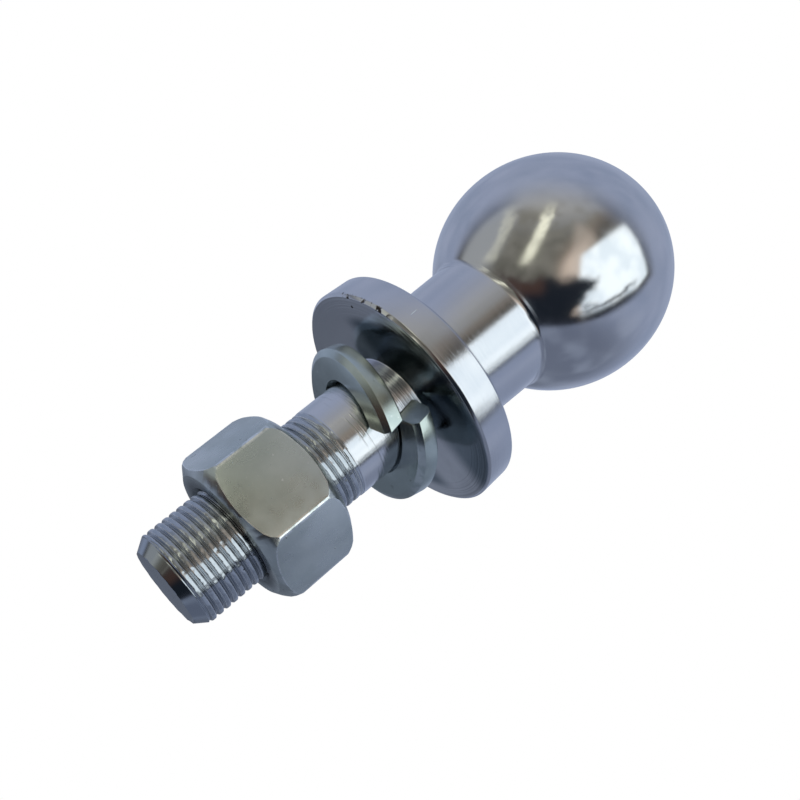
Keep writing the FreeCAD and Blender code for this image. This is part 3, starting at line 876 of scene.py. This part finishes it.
# %% Lathe marks, rings and a scratch
lathe_line = g.plus(z, off_axis)
marks = g.times(g.noise(lathe_line, 9000.0, 2.0, 0.6, "1D"), 0.5)
marks = g.plus(marks, g.times(g.noise(lathe_line, 1300.0, 2.0, 0.6, "1D"), 0.7))
seen_marks = g.step(g.noise(lathe_line, 3100.0, 3.0, 0.65, "1D"), 0.44, 0.70)
marks = g.plus(marks, g.times(seen_marks, 0.5))
for where, kept in ((on_ball, 0.22), (on_seat, 0.35), (on_thread, 0.0)):
    marks = g.times(marks, g.step(where, 0.0, 1.0, 1.0, kept))
seat_grooves = g.times(g.noise(off_axis, 2300.0, 1.0, 0.5, "1D"), seat_rim)
first_ring = g.step(g.away(z, -56.7 * mm), 0.16 * mm, 0.05 * mm)
second_ring = g.step(g.away(z, -57.9 * mm), 0.13 * mm, 0.04 * mm)
rings = g.times(g.plus(first_ring, second_ring), g.step(smears, 0.40, 0.52))
across_scratch = g.away(g.dot(place, (0.971, -0.2385, 0.06)), -2.43 * mm)
scratch = g.step(across_scratch, 0.11 * mm, 0.04 * mm)
scratch = g.times(scratch, g.step(off_axis, (RIM_RADIUS - 0.7) * mm, (RIM_RADIUS - 0.5) * mm))
scratch = g.times(scratch, g.step(g.away(z, (SEAT + 3.7) * mm), 0.9 * mm, 0.6 * mm))
waves = g.times(g.noise(place, 520.0, 1.0, 0.5), on_crest)
print("with marks:", len(bright.node_tree.nodes), "nodes")

# %% [markdown]
# Last, all the marks become bumps, one on top of the other, each with its own depth in
# millimetres. The thread's crests get slow waves, which break the lamps and the window into
# short pieces there, and flecks and scratch are cut in, not raised.

# %% Bumps of the steel
normal = g.bump(marks, 0.45, 0.02 * mm)
normal = g.bump(seat_grooves, 0.5, 0.06 * mm, normal)
normal = g.bump(smears, 0.05, 0.2 * mm, normal)
normal = g.bump(waves, 0.40, 0.6 * mm, normal)
normal = g.bump(g.larger(flecks, scratch), 0.6, -0.1 * mm, normal)
normal = g.bump(rings, 0.4, 0.06 * mm, normal)
finish_metal(g, tone, roughness, normal)
put_on(stud, bright)

# %% [markdown]
# The nut and the washer were plated dull. Their zinc scatters light, with mottled patches, a
# fine grain, bright chips and shallow pits. Where corners have been knocked the plating is
# rubbed bright. Each could have its own graph, but only tone, grain, the place of the wear, a
# painted highlight on the washer and painted shade in the nut's countersinks differ, so one
# function makes both.


# %% Dull zinc
def dull_zinc(name, low_tone, high_tone, low_rough, high_rough, grain, pits, wear_and_highlight_at):
    look, g, place = new_look(name)
    clouds = g.noise(place, 62.0, 4.0, 0.55)
    speckle = g.noise(place, 2300.0, 3.0, 0.65)
    patches = g.noise(place, 260.0, 3.0, 0.5)
    dents = g.step(g.noise(place, 700.0, 2.0, 0.5), 0.72, 0.76)
    chips = g.step(g.noise(place, 980.0, 2.0, 0.5), 0.73, 0.77)
    wear_and_highlight, painted_sink_shade = wear_and_highlight_at(g, place)
    wear_and_highlight = g.times(wear_and_highlight, g.step(g.noise(place, 520.0, 4.0, 0.7), 0.36, 0.56))
    tone = g.mix(g.step(clouds, 0.36, 0.64), low_tone, high_tone)
    grains = g.larger(g.times(g.step(speckle, 0.60, 0.74), 0.38), g.times(chips, 0.8))
    tone = g.mix(grains, tone, (0.80, 0.82, 0.82))
    # painted shade: darker in the nut's countersinks, for the shadow between nut and thread
    tone = g.mix(painted_sink_shade, tone, (0.10, 0.12, 0.125))
    # rubbed-bright wear on the nut, and a painted highlight on the washer's outer bevels
    tone = g.mix(g.times(wear_and_highlight, 0.8), tone, (0.90, 0.92, 0.92))
    tone = g.mix(g.times(dents, 0.6), tone, (0.16, 0.16, 0.15))
    roughness = g.step(patches, 0.3, 0.7, low_rough, high_rough)
    roughness = g.minus(roughness, g.times(wear_and_highlight, 0.15))
    normal = g.bump(speckle, grain, 0.025 * mm)
    normal = g.bump(patches, grain * 0.5, 0.04 * mm, normal)
    normal = g.bump(dents, pits, 0.1 * mm, normal)
    finish_metal(g, tone, roughness, normal)
    return look


# %% [markdown]
# Wear sits where other metal touches. On the nut that is the six upright corners and, less, the
# arcs where each flat meets the turned cone. The nut's countersinks get painted shade, for the
# shadow between the nut and the thread. On the washer a painted highlight lies on the outer
# bevels, found by how far each face leans from level.

# %% Wear, painted shade and a painted highlight on the nut and the washer
PAINTED_SINK_SHADE = 0.85


def nut_wear(g, place):
    x, y, z, across = from_axis(g, place)
    corner = g.step(across, 15.76 * mm, 15.92 * mm)
    flat_turns = [math.radians(turn) for turn in (30, 90, 150)]
    reach = [g.away(g.dot(place, (math.cos(turn), math.sin(turn), 0))) for turn in flat_turns]
    reach = g.larger(g.larger(reach[0], reach[1]), reach[2])
    from_face = g.minus(half_height * mm, g.away(z, middle_height * mm))
    cone = g.plus(g.times(from_face, 1.25), 13.25 * mm)
    on_arc = g.step(g.minus(cone, across), 0.40 * mm, 0.10 * mm)
    on_arc = g.times(on_arc, g.step(reach, 13.80 * mm, 13.93 * mm), 0.6)
    # painted shade in the countersinks, for the shadow between the nut and the thread
    painted_sink_shade = g.times(g.step(across, 13.0 * mm, 10.4 * mm), PAINTED_SINK_SHADE)
    return g.larger(corner, on_arc), painted_sink_shade


def washer_bevel_highlight(g, place):
    # painted highlight: the washer's outer bevel faces, found by how far they lean from level, get a
    # paler tone
    facing = g.dot(g.add("ShaderNodeNewGeometry").outputs["Normal"], (0, 0, 1))
    no_painted_sink_shade = 0.0
    return g.times(g.step(g.away(g.away(facing), 0.86), 0.10, 0.03), 0.35), no_painted_sink_shade


put_on(nut, dull_zinc("nut_zinc", (0.52, 0.57, 0.545), (0.655, 0.695, 0.67),
                      0.25, 0.36, 0.42, 0.7, nut_wear))
put_on(washer, dull_zinc("washer_zinc", (0.44, 0.50, 0.475), (0.54, 0.605, 0.575),
                         0.18, 0.27, 0.10, 0.3, washer_bevel_highlight))

# %% [markdown]
